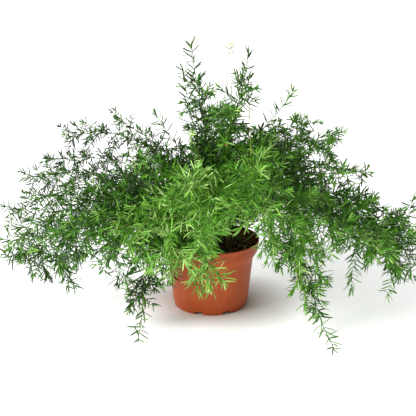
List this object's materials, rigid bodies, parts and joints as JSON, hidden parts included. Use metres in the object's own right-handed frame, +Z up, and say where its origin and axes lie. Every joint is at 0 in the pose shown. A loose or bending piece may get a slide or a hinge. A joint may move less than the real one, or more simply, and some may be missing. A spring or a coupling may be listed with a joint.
{
  "type": "potted fern",
  "caption": "Bushy asparagus fern with arching, needle-leaved stems that spread and trail from a round moulded nursery pot of potting mix.",
  "frame": {"origin": "on the pot's axis, on the surface it stands on: the middle of the plant's box, at its base", "axes": "+Z up, +X to the right as the plant is seen in the picture, +Y to its back"},
  "size_m": [0.6739, 0.5369, 0.4423],
  "materials": {
    "terracotta_plastic": "satin moulded plastic",
    "potting_mix": "rough, loose and damp",
    "foliage": "soft waxy green",
    "young_shoot": "soft waxy yellow-green"
  },
  "bodies": {
    "root": {"back": "foliage", "back_far_left": "foliage", "back_far_right": "foliage", "back_high": "foliage", "back_left": "foliage", "back_low": "foliage", "back_right": "foliage", "crest_back_left": "foliage", "crest_far_left": "foliage", "crest_far_right": "foliage", "crest_front": "foliage", "crest_left": "foliage", "crest_right": "foliage", "front_fall": "foliage", "front_fall_left": "foliage", "front_high": "foliage", "front_left": "foliage", "front_left_high": "foliage", "front_reach": "foliage", "front_reach_right": "foliage", "front_right_high": "foliage", "left_back": "foliage", "left_back_high": "foliage", "left_end": "foliage", "left_end_high": "foliage", "left_front_high": "foliage", "left_front_low": "foliage", "left_front_mid": "foliage", "left_high": "foliage", "left_low": "foliage", "left_shoulder": "foliage", "middle_left": "foliage", "middle_right": "foliage", "pot": "terracotta_plastic", "potting_mix": "potting_mix", "right_back_high": "foliage", "right_end": "foliage", "right_end_low": "foliage", "right_front_high": "foliage", "right_front_low": "foliage", "right_front_mid": "foliage", "right_high": "foliage", "right_low": "foliage", "right_shoulder": "foliage", "shoot_crest": "young_shoot", "shoot_left": "young_shoot", "trail_left": "foliage", "trail_right": "foliage", "trail_right_short": "foliage"}
  },
  "joints": []
}
